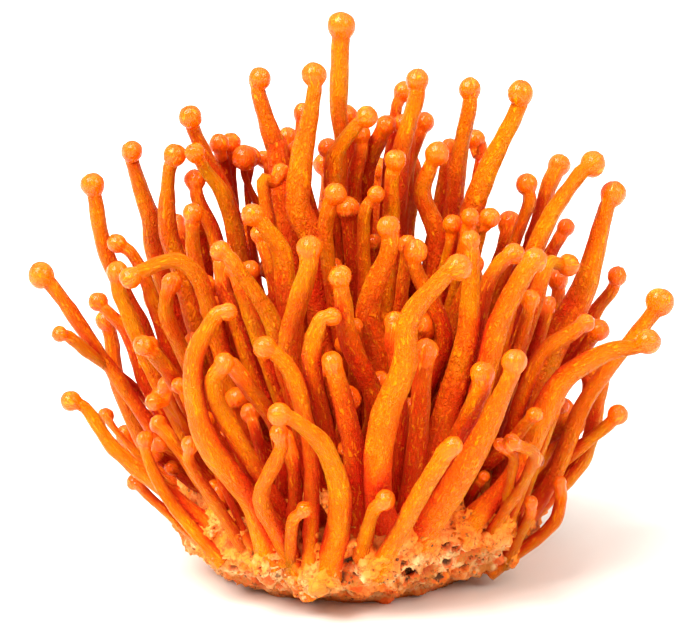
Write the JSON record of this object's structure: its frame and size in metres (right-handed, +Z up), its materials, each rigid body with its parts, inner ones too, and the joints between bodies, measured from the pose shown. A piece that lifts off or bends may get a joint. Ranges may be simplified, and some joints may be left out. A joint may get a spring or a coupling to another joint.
{
  "type": "cordyceps bunch",
  "caption": "Dense rounded bunch of slender orange club fungi with small round heads, bending outwards from a pale lumpy mycelium cake with a flat cut underside.",
  "frame": {"origin": "middle of the flat cut under the mycelium base", "axes": "+Z up, -Y towards the viewer of the picture, +X to the viewer's right"},
  "size_m": [0.1027, 0.0918, 0.0904],
  "materials": {
    "mycelium": "matte",
    "stalk": "satin",
    "stalk_back": "satin"
  },
  "bodies": {
    "root": {"mycelium_base": "mycelium", "crown_spire": "stalk", "crown_left": "stalk", "crown_back_left": "stalk", "crown_back": "stalk", "crown_hook": "stalk", "crown_right": "stalk", "crown_inner": "stalk", "back_right_tall": "stalk", "right_bent": "stalk", "right_bundle": "stalk", "right_high_pair": "stalk", "right_reaching_pair": "stalk", "right_sweep": "stalk", "right_low_pair": "stalk", "right_long_pair": "stalk", "right_thick": "stalk", "right_leaning": "stalk", "right_wrinkled": "stalk", "right_front_curve": "stalk", "right_standing": "stalk", "front_right_arch": "stalk", "middle_pair": "stalk", "front_standing_pair": "stalk", "front_right_short": "stalk", "front_right_long": "stalk", "front_low_pair": "stalk", "right_rim_trio": "stalk", "right_rim_loop": "stalk", "right_rim_reach": "stalk", "front_left_fork": "stalk", "front_slanting": "stalk", "front_left_low": "stalk", "front_crossed_trio": "stalk", "front_left_tall": "stalk", "front_middle_pair": "stalk", "front_club": "stalk", "left_standing": "stalk", "left_bent_pair": "stalk", "left_middle_trio": "stalk", "front_left_arch": "stalk", "left_arch": "stalk", "left_inner_trio": "stalk", "left_low_pair": "stalk", "left_high_pair": "stalk", "left_crown_pair": "stalk", "left_crown_trio": "stalk", "left_outer_high": "stalk", "left_trio": "stalk", "left_outer_pair": "stalk", "left_low_outer": "stalk", "left_leaning_pair": "stalk", "left_rim_pair": "stalk", "back_outer_tuft_1": "stalk_back", "back_outer_tuft_2": "stalk_back", "back_outer_tuft_3": "stalk_back", "back_outer_tuft_4": "stalk_back", "back_inner_tuft_1": "stalk_back", "back_inner_tuft_2": "stalk_back", "back_inner_tuft_3": "stalk_back"}
  },
  "joints": []
}
